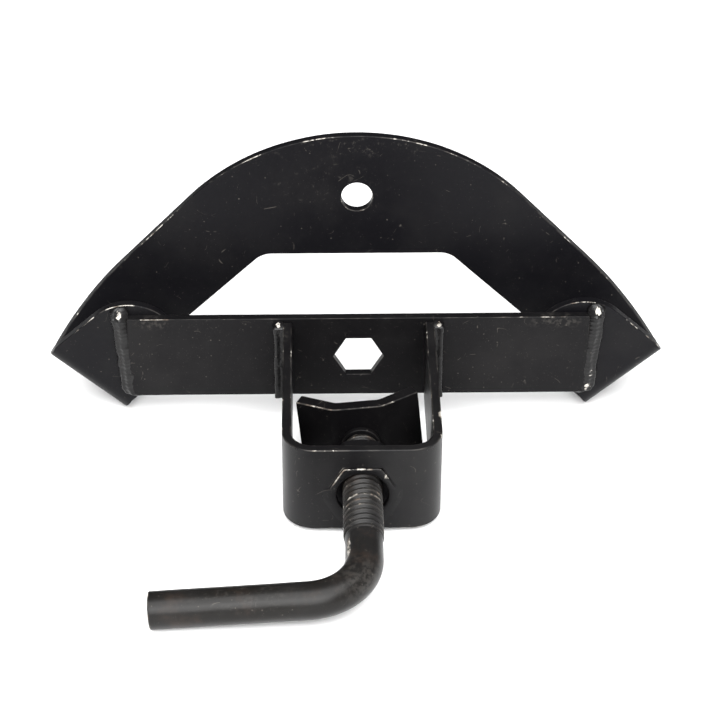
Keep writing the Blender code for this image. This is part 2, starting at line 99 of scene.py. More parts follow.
NUT_FLATS = 33.3 * MM
NUT_LENGTH = 25.4 * MM
NUT_PROUD = 0.3 * MM
NUT_MOUTH_RADIUS = 13.5 * MM
NUT_MOUTH_DEPTH = 4.4 * MM
NUT_ROUNDING = 0.7 * MM
NUT_CHAMFER = 2.2 * MM

SADDLE_FACE = -63.6 * MM
SADDLE_STEEL = 6.6 * MM
SADDLE_HEIGHT = 44.4 * MM
SADDLE_HALF_WIDTH = 29.3 * MM
SADDLE_HALF_FLAT = 11.3 * MM
SADDLE_WING = math.radians(27.0)
SADDLE_BEND = 6.0 * MM
SADDLE_ROLL = math.radians(5.5)
PIN_RADIUS = 6.0 * MM
PIN_HEAD_RADIUS = 9.0 * MM
WASHER_RADIUS = 10.2 * MM
WASHER_THICKNESS = 3.0 * MM
WASHER_ROUNDING = 0.6 * MM

EDGE_STEPS = 4  # facets round each worn edge
CORNER_STEPS = 4  # facets round each corner of a flat
RING_STEPS = 96  # facets round the nut and the washer
WAVER = 0.1 * MM  # how far a cut edge strays inwards
HEX_CORNER = 1.1547  # a hexagon's corner radius over its inner radius


def ripple(x, y=0.0, z=0.0, seed=0):
    """Smooth noise from -1 to 1; the arguments are already in wavelengths."""
    return noise.noise(Vector((x + 31.7 * seed, y + 11.3 * seed, z - 7.9 * seed)))


# ------------------------ materials


class Tree:
    """Short calls for building a material's nodes."""

    def __init__(self, name):
        self.material = bpy.data.materials.new(name)
        self.material.use_nodes = True
        self.tree = self.material.node_tree
        self.shader = self.tree.nodes["Principled BSDF"]
        self.place = self.add("TexCoord").outputs["Object"]

    def add(self, kind, **settings):
        made = self.tree.nodes.new("ShaderNode" + kind)
        for key, value in settings.items():
            setattr(made, key, value)
        return made

    def link(self, value, socket):
        if isinstance(value, bpy.types.NodeSocket):
            self.tree.links.new(value, socket)
        else:
            socket.default_value = value

    def math(self, operation, a, b=0.0):
        made = self.add("Math", operation=operation)
        self.link(a, made.inputs[0])
        self.link(b, made.inputs[1])
        return made.outputs[0]

    def times(self, a, b):
        return self.math("MULTIPLY", a, b)

    def plus(self, a, b):
        return self.math("ADD", a, b)

    def step(self, value, low, high, start=0.0, end=1.0):
        """value carried smoothly from low..high to start..end."""
        made = self.add("MapRange", interpolation_type="SMOOTHSTEP")
        for socket, number in zip(made.inputs[:5], (value, low, high, start, end)):
            self.link(number, socket)
        return made.outputs[0]

    def noise(self, per_metre, detail=3.0, rough=0.55, stretch=None, turn=None, warp=0.0):
        """stretch divides the frequency along each axis, and turn rotates the pattern first."""
        where = self.place
        if stretch or turn:
            mapping = self.add("Mapping", vector_type="POINT")
            self.link(where, mapping.inputs["Vector"])
            if turn:
                mapping.inputs["Rotation"].default_value = turn
            if stretch:
                mapping.inputs["Scale"].default_value = [1.0 / s for s in stretch]
            where = mapping.outputs[0]
        made = self.add("TexNoise", noise_dimensions="3D")
        self.link(where, made.inputs["Vector"])
        made.inputs["Scale"].default_value = per_metre
        made.inputs["Detail"].default_value = detail
        made.inputs["Roughness"].default_value = rough
        made.inputs["Distortion"].default_value = warp
        return made.outputs["Fac"]

    def grains(self, per_metre, share, size, offset=(0, 0, 0)):
        """Small round specks: share of the cells hold one, size is its radius in cells."""
        mapping = self.add("Mapping", vector_type="POINT")
        self.link(self.place, mapping.inputs["Vector"])
        mapping.inputs["Location"].default_value = offset
        cell = self.add("TexVoronoi", voronoi_dimensions="3D", feature="F1")
        self.link(mapping.outputs[0], cell.inputs["Vector"])
        cell.inputs["Scale"].default_value = per_metre
        chosen = self.add("SeparateColor")
        self.link(cell.outputs["Color"], chosen.inputs[0])
        near = self.step(cell.outputs["Distance"], size, size * 0.35)
        return self.times(near, self.step(chosen.outputs[0], share, share * 0.8))

    def hairs(self, per_metre, thin, gate_low, stretch=(1, 1, 1), turn=(0, 0, 0), offset=0.0):
        """Fine curved scratches: thin level lines of a noise, kept only where a second noise is high."""
        lines = self.noise(per_metre, detail=1.0, rough=0.3, stretch=stretch, turn=turn, warp=0.6)
        away = self.math("ABSOLUTE", self.math("SUBTRACT", lines, 0.5 + offset))
        gate = self.noise(per_metre * 2.3, detail=2.0, turn=(0.5, 1.1 + offset, 0.2))
        return self.times(self.step(away, thin, thin * 0.3), self.step(gate, gate_low, gate_low + 0.06))

    def patch(self, centre, reach, soft=0.4):
        """1 inside an ellipsoid about centre, fading out over the last part of reach."""
        shift = self.add("VectorMath", operation="SUBTRACT")
        self.link(self.place, shift.inputs[0])
        shift.inputs[1].default_value = centre
        scaled = self.add("VectorMath", operation="DIVIDE")
        self.link(shift.outputs[0], scaled.inputs[0])
        scaled.inputs[1].default_value = reach
        size = self.add("VectorMath", operation="LENGTH")
        self.link(scaled.outputs[0], size.inputs[0])
        return self.step(size.outputs["Value"], 1.0, 1.0 - soft)

    def either(self, values):
        total = values[0]
        for value in values[1:]:
            total = self.math("MAXIMUM", total, value)
        return total

    def attribute(self, name):
        return self.add("Attribute", attribute_name=name).outputs["Fac"]

    def mix(self, share, a, b):
        made = self.add("Mix", data_type="RGBA", blend_type="MIX", clamp_factor=True)
        self.link(share, made.inputs[0])
        self.link((*a, 1.0) if isinstance(a, tuple) else a, made.inputs[6])
        self.link((*b, 1.0) if isinstance(b, tuple) else b, made.inputs[7])
        return made.outputs[2]

    def blend(self, share, a, b):
        made = self.add("Mix", data_type="FLOAT", clamp_factor=True)
        self.link(share, made.inputs[0])
        self.link(a, made.inputs[2])
        self.link(b, made.inputs[3])
        return made.outputs[0]

    def bump(self, height, depth, normal=None):
        """depth is in metres for a height of 1."""
        made = self.add("Bump")
        made.inputs["Strength"].default_value = 1.0
        made.inputs["Distance"].default_value = depth
        self.link(height, made.inputs["Height"])
        if normal is not None:
            self.link(normal, made.inputs["Normal"])
        return made.outputs[0]


PAINT = (0.0036, 0.0034, 0.0038)
HAZE = (0.0092, 0.0088, 0.0088)
DUST = (0.062, 0.056, 0.049)
RUB = (0.036, 0.033, 0.03)
PRIMER = (0.13, 0.115, 0.096)
BARE = (0.4, 0.38, 0.345)
RUST = (0.07, 0.043, 0.03)
GRAIN_DEPTH, CHIP_DEPTH = 0.00002, 0.00007  # metres


def paint(name, tint=PAINT, gloss=0.36, haze=0.5, dust=1.0, scratch=1.0, edge=0.52, bright=0.62,
          chips=(), rubs=(), frayed=(), grain=1.0, brown=0.0, sag=0.0, sheen=1.19):
    """Black paint on steel: haze, dust, scratches, worn edges, and chips within the given patches.

    edge is the noise level above which a worn edge shows, and bright how often it shows bare steel.
    chips and rubs are (centre, reach, level) patches: chips bare the metal, rubs lighten the paint, and
    a lower level shows more of them. frayed patches are (centre, reach, more): the edges inside them are
    worn that much more. grain and sag are the fine and the soft unevenness, brown is the share of rust,
    and sheen is the IOR.
    """
    t = Tree(name)
    cloud = t.noise(22, detail=4, rough=0.6)
    fine = t.noise(420, detail=3, rough=0.6)
    colour = t.mix(t.step(cloud, 0.42, 0.72, 0.0, haze), tint, HAZE)
    colour = t.mix(t.step(fine, 0.55, 0.8, 0.0, 0.5 * haze), colour, HAZE)
    specks = t.either([
        t.times(t.grains(620, 0.028 * dust, 0.3), 0.75),
        t.times(t.grains(310, 0.02 * dust, 0.17, (0.3, 0.1, 0.7)), 0.9),
        t.times(t.grains(1500, 0.06 * dust, 0.34, (0.11, 0.6, 0.2)), 0.45),
    ])
    colour = t.mix(specks, colour, DUST)
    hairs = t.either([
        t.hairs(55, 0.003 * scratch, 0.6),
        t.hairs(38, 0.0024 * scratch, 0.61, (3, 1, 1.4), (0.2, 0.5, 0.9), 0.03),
        t.hairs(90, 0.003 * scratch, 0.64, (1, 1, 2.5), (0.9, 0.1, 0.4), -0.02),
    ])
    colour = t.mix(t.times(hairs, 0.75), colour, DUST)

    ragged = t.noise(330, detail=5, rough=0.7)
    lumps = t.noise(75, detail=3, rough=0.6)
    worn = t.attribute("edge")
    rubbed = t.times(worn, t.step(lumps, edge - 0.14, edge + 0.05))
    colour = t.mix(t.times(rubbed, 0.85), colour, RUB)
    level = t.plus(t.times(lumps, 0.55), t.times(ragged, 0.45))
    for centre, reach, more in frayed:
        level = t.plus(level, t.times(t.patch(centre, reach, 0.7), more))
    bare = t.times(t.step(worn, 0.35, 0.8), t.step(level, edge + 0.02, edge + 0.07))
    parts = [bare]
    for centre, reach, low in rubs:
        area = t.patch(centre, reach, 0.8)
        rub = t.times(area, t.step(ragged, low, low + 0.12))
        colour = t.mix(t.times(rub, 0.55), colour, RUB)
    for centre, reach, low in chips:
        area = t.patch(centre, reach, 0.7)
        flake = t.noise(240, detail=6, rough=0.75, warp=0.4)
        parts.append(t.step(t.plus(flake, t.times(area, 0.5)), low + 0.47, low + 0.5))
    bare = t.either(parts)
    tone = t.noise(170, detail=4, rough=0.7)
    metal = t.mix(t.step(tone, bright - 0.18, bright), BARE, PRIMER)
    metal = t.mix(t.step(tone, bright - 0.05, bright + 0.1, 0.0, 0.7), metal, RUST)
    colour = t.mix(bare, colour, metal)
    if brown:
        colour = t.mix(t.step(t.noise(60, detail=5, rough=0.7), 0.5, 0.72, 0.0, brown), colour, RUST)
    t.link(colour, t.shader.inputs["Base Color"])

    rough = t.step(cloud, 0.3, 0.75, gloss - 0.03, gloss + 0.07)
    rough = t.blend(t.times(specks, 0.8), rough, 0.85)
    rough = t.blend(t.math("MAXIMUM", bare, t.times(hairs, 0.5)), rough, 0.52)
    t.link(rough, t.shader.inputs["Roughness"])
    t.shader.inputs["IOR"].default_value = sheen

    height = t.plus(t.times(t.noise(900, detail=2, rough=0.5), 0.6 * grain),
                    t.times(t.noise(150, detail=2, rough=0.5), 1.6 * grain))
    normal = t.bump(height, GRAIN_DEPTH)
    normal = t.bump(t.plus(t.times(bare, -1.0), t.times(specks, 0.5)), CHIP_DEPTH, normal)
    if sag:
        normal = t.bump(t.noise(30, detail=2), sag, normal)
    t.link(normal, t.shader.inputs["Normal"])
    return t.material


# ------------------------ mesh helpers


def finish_mesh(name, verts, faces, worn, body, nodes, slot, material, normals=None, sharp=None):
    """A mesh object that rides on body and stands for the CAD nodes.

    worn is each vert's edge wear. The mesh is shaded smooth, by normals if they are given, and except
    across edges of more than sharp degrees.
    """
    mesh = bpy.data.meshes.new(name)
    mesh.from_pydata([tuple(v) for v in verts], [], facing_out(verts, faces))
    for polygon in mesh.polygons:
        polygon.use_smooth = True
    mesh.attributes.new("edge", "FLOAT", "POINT").data.foreach_set("value", worn)
    if normals is not None:
        mesh.normals_split_custom_set_from_vertices([tuple(n) for n in normals])
    mesh.materials.append(material)
    made = bpy.data.objects.new(name, mesh)
    bpy.context.scene.collection.objects.link(made)
    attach(made, body)
    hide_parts(*nodes)
    if sharp is not None:
        sharpen(mesh, sharp)


def sharpen(mesh, degrees):
    bm = bmesh.new()
    bm.from_mesh(mesh)
    for edge in bm.edges:
        if len(edge.link_faces) == 2 and edge.calc_face_angle(0.0) > math.radians(degrees):
            edge.smooth = False
    bm.to_mesh(mesh)
    bm.free()


def arc(cx, cy, radius, start, end, steps):
    turns = [start + (end - start) * i / steps for i in range(steps + 1)]
    return [(cx + radius * math.cos(a), cy + radius * math.sin(a)) for a in turns]


def rounded_corner(corner, before, after, radius, steps):
    c, b, a = Vector(corner), Vector(before), Vector(after)
    ub, ua = (b - c).normalized(), (a - c).normalized()
    half = ub.angle(ua) / 2
    reach = radius / math.tan(half)
    centre = c + (ub + ua).normalized() * (radius / math.sin(half))
    start, end = c + ub * reach - centre, c + ua * reach - centre
    first, last = math.atan2(start.y, start.x), math.atan2(end.y, end.x)
    sweep = (last - first + math.pi) % (2 * math.pi) - math.pi
    return arc(centre.x, centre.y, radius, first, first + sweep, steps)


def rounded_polygon(corners, radius):
    count = len(corners)
    points = []
    for i, corner in enumerate(corners):
        points += rounded_corner(corner, corners[i - 1], corners[(i + 1) % count], radius, CORNER_STEPS)
    return points


def divided(points, most):
    """The closed loop of points with every side no longer than most."""
    made = []
    for a, b in zip(points, points[1:] + points[:1]):
        count = max(1, math.ceil(math.dist(a, b) / most))
        made += [(a[0] + (b[0] - a[0]) * i / count, a[1] + (b[1] - a[1]) * i / count) for i in range(count)]
    return made


def hexagon(cx, cy, flats):
    radius = flats / math.sqrt(3)
    turns = [k * math.pi / 3 for k in range(6)]
    return [(cx + radius * math.cos(a), cy + radius * math.sin(a)) for a in turns]


def edge_profile(thickness, rounding):
    """(inset, depth, turn) from the front face round both edges to the back face."""
    rows = []
    for i in range(EDGE_STEPS + 1):
        turn = math.pi / 2 * i / EDGE_STEPS
        rows.append((rounding * (1 - math.sin(turn)), rounding * (1 - math.cos(turn)), turn))
    return rows + [(inset, thickness - depth, math.pi - turn) for inset, depth, turn in reversed(rows)]


def sheet(loops, place, thickness, cuts=(), rounding=0.5 * MM, seed=1):
    """A plate with rounded edges: (verts, faces, normals, edge).

    loops are cut out in the flat, place(x, y, depth) carries a point to the finished plate, and cuts
    are the lines where the flat is divided so that it can bend.
    """
    flat = bmesh.new()
    edges = []
    for loop in loops:
        ring = [flat.verts.new((x, y, 0)) for x, y in loop]
        edges += [flat.edges.new((a, b)) for a, b in zip(ring, ring[1:] + ring[:1])]
    bmesh.ops.triangle_fill(flat, use_beauty=True, edges=edges)
    for point, normal, keep in cuts:
        faces = [f for f in flat.faces if keep(f.calc_center_median())]
        geometry = list({v for f in faces for v in f.verts})
        geometry += list({e for f in faces for e in f.edges}) + faces
        bmesh.ops.bisect_plane(
            flat, geom=geometry, dist=1e-7, plane_co=(*point, 0), plane_no=(*normal, 0)
        )
    bmesh.ops.recalc_face_normals(flat, faces=flat.faces)
    if sum(f.normal.z * f.calc_area() for f in flat.faces) < 0:
        bmesh.ops.reverse_faces(flat, faces=flat.faces)
    flat.verts.index_update()
    outward = {}
    for edge in flat.edges:
        if len(edge.link_faces) != 1:
            continue
        loop = next(l for l in edge.link_faces[0].loops if l.edge == edge)
        a, b = loop.vert, loop.link_loop_next.vert
        along = (b.co - a.co).normalized()
        side = Vector((along.y, -along.x))
        for v in (a, b):
            outward.setdefault(v.index, []).append(side)
    for index, sides in outward.items():
        mean = (sides[0] + sides[-1]).normalized()
        outward[index] = (mean, 1 / max(0.5, mean.dot(sides[0])))

    def frame_at(x, y, depth):
        """The finished plate's point, its outward front normal, and its two in-plane directions."""
        tiny = 0.02 * MM
        point = Vector(place(x, y, depth))
        across = (Vector(place(x + tiny, y, depth)) - Vector(place(x - tiny, y, depth))) / (2 * tiny)
        up = (Vector(place(x, y + tiny, depth)) - Vector(place(x, y - tiny, depth))) / (2 * tiny)
        front = (Vector(place(x, y, depth - tiny)) - Vector(place(x, y, depth + tiny))).normalized()
        return point, front, across, up

    rows = edge_profile(thickness, rounding)
    verts, normals, worn, ids = [], [], [], {}

    def add(vertex, row):
        key = (vertex.index, row)
        if key in ids:
            return ids[key]
        inset, depth, turn = rows[row]
        x, y = vertex.co.x, vertex.co.y
        direction, stretch = outward.get(vertex.index, (None, 1.0))
        wear = 0.0
        if direction is not None:
            push = inset + WAVER * (0.5 + 0.5 * ripple(x * 90, y * 90, depth * 400, seed))
            x, y = x - direction.x * push * stretch, y - direction.y * push * stretch
            wear = math.sin(2 * turn) if turn <= math.pi / 2 else -math.sin(2 * turn)
        point, front, across, up = frame_at(x, y, depth)
        normal = front * math.cos(turn)
        if direction is not None:
            normal = normal + (across * direction.x + up * direction.y).normalized() * math.sin(turn)
        elif row:
            normal = -front
        ids[key] = len(verts)
        verts.append(point)
        normals.append(normal.normalized())
        worn.append(max(0.0, wear))
        return ids[key]

    last = len(rows) - 1
    faces = []
    for face in flat.faces:
        faces.append([add(v, 0) for v in face.verts])
        faces.append([add(v, last) for v in reversed(face.verts)])
        for loop in face.loops:
            if len(loop.edge.link_faces) == 1:
                a, b = loop.vert, loop.link_loop_next.vert
                for row in range(last):
                    faces.append([add(b, row), add(a, row), add(a, row + 1), add(b, row + 1)])
    flat.free()
    return verts, faces, normals, worn


def bend_cuts(start, length, steps):
    """The cuts of a strip that bends over length from start, on both sides of its middle."""
    return [
        ((side * (start + length * i / steps), 0), (1, 0), lambda c: True)
        for side in (1, -1) for i in range(steps + 1)
    ]


def facing_out(verts, faces):
    """The closed mesh's faces, reversed if it is inside out."""
    volume = 0.0
    for face in faces:
        for i in range(1, len(face) - 1):
            a, b, c = verts[face[0]], verts[face[i]], verts[face[i + 1]]
            volume += Vector(a).dot(Vector(b).cross(Vector(c)))
    return faces if volume > 0 else [list(reversed(f)) for f in faces]


def rings(loops, wrap=False):
    """Faces between loops of the same number of verts, over both ends or, with wrap, back to the first."""
    verts = [v for loop in loops for v in loop]
    count, total = len(loops[0]), len(verts)
    faces = []
    for i in range(len(loops) if wrap else len(loops) - 1):
        for k in range(count):
            a, b = i * count + k, i * count + (k + 1) % count
            faces.append([a, b, (b + count) % total, (a + count) % total])
    if not wrap:
        faces.append(list(reversed(range(count))))
        faces.append([total - count + k for k in range(count)])
    return verts, faces


def turned(plan):
    """Loops about the screw's axis, one for each (y, radius, edge); radius may be a function of the angle."""
    loops = []
    for y, radius, _ in plan:
        loop = []
        for k in range(RING_STEPS):
            angle = 2 * math.pi * k / RING_STEPS
            r = radius(angle) if callable(radius) else radius
            loop.append(Vector((r * math.cos(angle), y, SCREW_Z + r * math.sin(angle))))
        loops.append(loop)
    return loops


# ------------------------ wheel plate

LEG_ALONG = Vector((math.cos(LEG_SLOPE), -math.sin(LEG_SLOPE)))
LEG_ACROSS = Vector((-math.sin(LEG_SLOPE), -math.cos(LEG_SLOPE)))
LEG_START = Vector((0, CROWN_CENTRE)) + CROWN_RADIUS * Vector((math.sin(LEG_SLOPE), math.cos(LEG_SLOPE)))
ALONG = LEG_ALONG * math.cos(FOLD_SKEW) - LEG_ACROSS * math.sin(FOLD_SKEW)
ACROSS = LEG_ACROSS * math.cos(FOLD_SKEW) + LEG_ALONG * math.sin(FOLD_SKEW)
BEND_END = LEG_FLAT + (BEND_RADIUS + STEEL / 2) * BEND_ANGLE
FOLD_ANGLE = math.pi - BEND_ANGLE
FOLD_END = BEND_END + (FOLD_RADIUS + STEEL / 2) * FOLD_ANGLE
FOLD_S = LEG_FLAT + (BEND_RADIUS - FOLD_RADIUS) * math.sin(BEND_ANGLE)
FOLD_N = BEND_RADIUS - (BEND_RADIUS - FOLD_RADIUS) * math.cos(BEND_ANGLE)
PLATE_FACE = TAB_FACE + FOLD_N + FOLD_RADIUS + STEEL


def bent(p, depth):
    """Where p along the flat leg ends once it is bent and folded: (along the leg, forward of it)."""
    if p <= LEG_FLAT:
        return p, -depth
    if p <= BEND_END:
        turn, radius = (p - LEG_FLAT) / (BEND_RADIUS + STEEL / 2), BEND_RADIUS + depth
        return LEG_FLAT + radius * math.sin(turn), BEND_RADIUS - radius * math.cos(turn)
    if p <= FOLD_END:
        turn = BEND_ANGLE + (p - BEND_END) / (FOLD_RADIUS + STEEL / 2)
        radius = FOLD_RADIUS + depth
        return FOLD_S + radius * math.sin(turn), FOLD_N - radius * math.cos(turn)
    return FOLD_S - (p - FOLD_END), FOLD_N + FOLD_RADIUS + depth


def plate_place(x, w, depth):
    side = -1 if x < 0 else 1
    from_start = Vector((abs(x), w)) - LEG_START
    along, forward = bent(from_start.dot(ALONG), depth)
    point = LEG_START + along * ALONG + from_start.dot(ACROSS) * ACROSS
    return (side * point.x + PLATE_SHIFT, PLATE_FACE - forward, point.y + BAR_LOW)


def leg_point(p, q):
    point = LEG_START + p * ALONG + q * ACROSS
    return (point.x, point.y)


def tab_point(point):
    from_start = Vector(point) - LEG_START
    return leg_point(FOLD_END + FOLD_S - from_start.dot(ALONG), from_start.dot(ACROSS))


def plate_outline():
    points = arc(0, CROWN_CENTRE, CROWN_RADIUS, math.pi / 2, math.pi / 2 - LEG_SLOPE, 60)
    points.append(leg_point(LEG_FLAT, LEG_FLAT * math.tan(FOLD_SKEW)))
    points.append(leg_point(BEND_END, FOLD_OUTER))
    up = Vector((-math.cos(TAB_SLOPE), math.sin(TAB_SLOPE)))
    outward = Vector((math.sin(TAB_SLOPE), math.cos(TAB_SLOPE)))
    for side in (1, -1):
        edge = Vector(TAB_CENTRE) + side * TAB_RADIUS * outward
        at_fold = edge + up * ((FOLD_S - (edge - LEG_START).dot(ALONG)) / up.dot(ALONG))
        points.append(tab_point(at_fold))
        if side == 1:
            points += [tab_point(end) for end in arc(*TAB_CENTRE, TAB_RADIUS, math.pi / 2 - TAB_SLOPE,
                                                     math.pi * 1.5 - TAB_SLOPE, 60)]
    points.append(leg_point(BEND_END, FOLD_INNER))
    points.append(WINDOW_LOW)
    corner = (WINDOW_HALF_TOP, WINDOW_TOP)
    points += rounded_corner(corner, WINDOW_LOW, (0, WINDOW_TOP), WINDOW_CORNER_RADIUS, 24)
    return points


def build_wheel_plate():
    right = plate_outline()
    left = [(-x, w) for x, w in reversed(right[1:])]
    start, end = 0.02, 2 * math.pi + 0.02
    hole = [
        (x, w + (WHEEL_HOLE_STRETCH / 2 if w > WHEEL_HOLE_HEIGHT else -WHEEL_HOLE_STRETCH / 2))
        for x, w in arc(WHEEL_HOLE_SIDE, WHEEL_HOLE_HEIGHT, WHEEL_HOLE_RADIUS, start, end, 72)[:-1]
    ]
    cuts = []
    stations = [LEG_FLAT + (BEND_END - LEG_FLAT) * i / 24 for i in range(25)]
    stations += [BEND_END + (FOLD_END - BEND_END) * i / 20 for i in range(1, 21)]
    for side in (1, -1):
        for p in stations:
            x, w = leg_point(p, 0)
            cuts.append(((side * x, w), (side * ALONG.x, ALONG.y), lambda c, s=side: c.x * s > 0.05))
    outline = divided(right + left, 4 * MM)
    verts, faces, normals, worn = sheet([outline, hole], plate_place, STEEL, cuts, seed=2)
    top = BAR_LOW + CROWN_CENTRE + CROWN_RADIUS
    material = paint(
        "arch_paint", tint=(0.0029, 0.0028, 0.0036), gloss=0.38, haze=0.35, dust=0.6, edge=0.56,
        bright=0.62,
        frayed=[((-0.149, TAB_FACE, 0.038), (0.013, 0.003, 0.011), 0.17),
                ((-0.129, TAB_FACE, 0.05), (0.017, 0.003, 0.006), 0.13),
                ((0.127, TAB_FACE, 0.05), (0.019, 0.003, 0.006), 0.11),
                ((0.152, TAB_FACE, 0.033), (0.019, 0.003, 0.019), 0.12),
                ((0.124, TAB_FACE, -0.0215), (0.006, 0.004, 0.004), 0.12),
                ((-0.1, PLATE_FACE, 0.08), (0.04, 0.006, 0.05), 0.04),
                ((0.0, PLATE_FACE, 0.09), (0.2, 0.01, 0.1), 0.04),
                ((-0.167, 0.009, 0.0195), (0.006, 0.008, 0.008), 0.1),
                ((0.165, 0.009, 0.0195), (0.006, 0.008, 0.008), 0.12)],
        rubs=[((0.0, PLATE_FACE, top - 0.006), (0.1, 0.01, 0.012), 0.56),
              ((-0.02, PLATE_FACE, top - 0.03), (0.05, 0.01, 0.02), 0.58),
              ((0.128, TAB_FACE, 0.035), (0.03, 0.004, 0.022), 0.6)],
    )
    finish_mesh("arch_plate", verts, faces, worn, "frame", ["wheel_plate"], "painted_steel", material,
                normals)


# ------------------------ crossbar and strap


def build_cross_bar():
    half = BAR_LENGTH / 2
    corners = [(-half, BAR_LOW), (half, BAR_LOW), (half, BAR_HIGH), (-half, BAR_HIGH)]
    outline = divided(rounded_polygon(corners, 0.9 * MM), 3 * MM)
    hole = divided(rounded_polygon(hexagon(0, BAR_MIDDLE, BAR_HEX_FLATS), 0.8 * MM), 2 * MM)
    verts, faces, normals, worn = sheet(
        [outline, hole], lambda x, z, depth: (x, depth, z), STEEL, rounding=0.4 * MM, seed=3
    )
    material = paint(
        "bar_paint", gloss=0.37, haze=0.5, dust=1.3, edge=0.575, bright=0.52,
        frayed=[((-0.112, 0, BAR_HIGH), (0.015, 0.003, 0.004), 0.14),
                ((0.104, 0, BAR_HIGH), (0.018, 0.003, 0.004), 0.1),
                ((-0.07, 0, BAR_HIGH), (0.012, 0.003, 0.004), 0.07)],
        rubs=[((0.108, 0, BAR_HIGH - 0.003), (0.022, 0.01, 0.006), 0.48),
              ((-0.112, 0, BAR_HIGH - 0.003), (0.014, 0.01, 0.005), 0.48),
              ((-0.08, 0, BAR_HIGH - 0.004), (0.05, 0.01, 0.008), 0.58)],
    )
    finish_mesh("flat_bar", verts, faces, worn, "frame", ["cross_bar"], "painted_steel", material, normals)


STRAP_LEG = STRAP_DEPTH - STEEL - STRAP_RADIUS - GAP
STRAP_HALF_FRONT = STRAP_WIDTH / 2 - STEEL - STRAP_RADIUS
STRAP_ARC = (STRAP_RADIUS + STEEL / 2) * math.pi / 2


def strap_place(length, height, depth):
    side, run = (-1 if length < 0 else 1), abs(length)
    radius = STRAP_RADIUS + STEEL - depth
    x, y = min(run, STRAP_HALF_FRONT), -STRAP_DEPTH + depth
    if run > STRAP_HALF_FRONT:
        turn = min((run - STRAP_HALF_FRONT) / STRAP_ARC, 1.0) * math.pi / 2
        x = STRAP_HALF_FRONT + radius * math.sin(turn)
        y = -STRAP_DEPTH + STEEL + STRAP_RADIUS - radius * math.cos(turn)
        y += max(run - STRAP_HALF_FRONT - STRAP_ARC, 0)
    return (side * x, y, height)


def build_clamp_strap():
    end = STRAP_HALF_FRONT + STRAP_ARC + STRAP_LEG
    corners = [(-end, STRAP_LOW), (end, STRAP_LOW), (end, STRAP_HIGH), (-end, STRAP_HIGH)]
    outline = divided(rounded_polygon(corners, 0.8 * MM), 3 * MM)
    hole = divided(rounded_polygon(hexagon(0, SCREW_Z, NUT_FLATS + 2 * GAP), 0.8 * MM), 2 * MM)
    cuts = bend_cuts(STRAP_HALF_FRONT, STRAP_ARC, 16)
    verts, faces, normals, worn = sheet([outline, hole], strap_place, STEEL, cuts, rounding=0.7 * MM, seed=4)
    front = -STRAP_DEPTH
    material = paint(
        "strap_paint", sheen=1.25, gloss=0.36, haze=0.6, dust=0.9, edge=0.545,
        chips=[((STRAP_WIDTH / 2, front + 0.012, STRAP_HIGH - 0.001), (0.003, 0.003, 0.003), 0.42),
               ((STRAP_WIDTH / 2, front + 0.03, STRAP_HIGH), (0.003, 0.006, 0.003), 0.48)],
        rubs=[((-STRAP_WIDTH / 2, -0.01, STRAP_HIGH), (0.004, 0.014, 0.004), 0.48)],
    )
    finish_mesh("u_strap", verts, faces, worn, "frame", ["clamp_strap"], "painted_steel", material, normals)


# ------------------------ weld beads


def bead(path, side, section, roughness, seed):
    """A lumpy weld along path, which gives (origin, t), on the right if side is 1 and the left if -1.

    section(t) gives the (u, v, edge) points of its profile. A point whose edge is None isn't lumpy.
    """
    across, out = Vector((side, 0, 0)), Vector((0, -1, 0))
    loops, worn = [], []
    for i, (origin, t) in enumerate(path):
        loop = []
        for u, v, edge in section(t):
            lump = roughness * (
                ripple(i * 0.11, u * 300, v * 300, seed) + 0.6 * ripple(i * 0.33, u * 700, v * 700, seed + 1)
            )
            scale = 1.0 if edge is None else 1.0 + lump
            loop.append(origin + across * u * scale + out * v * scale)
            worn.append(edge or 0.0)
        loops.append(loop)
    return *rings(loops), worn


def finish_weld(kind, hand, made, chips):
    """The bead on that hand, from what bead() made."""
    name = f"{kind}_bead_{hand}"
    material = paint(name + "_paint", tint=(0.0042, 0.004, 0.0042), gloss=0.24, haze=0.5, dust=0.8,
                     scratch=0.4, edge=0.53, bright=0.66, chips=chips, grain=1.6, sag=0.0004, sheen=1.31)
    finish_mesh(name, *made, "frame", [f"{kind}_weld_{hand}"], "weld_bead", material)


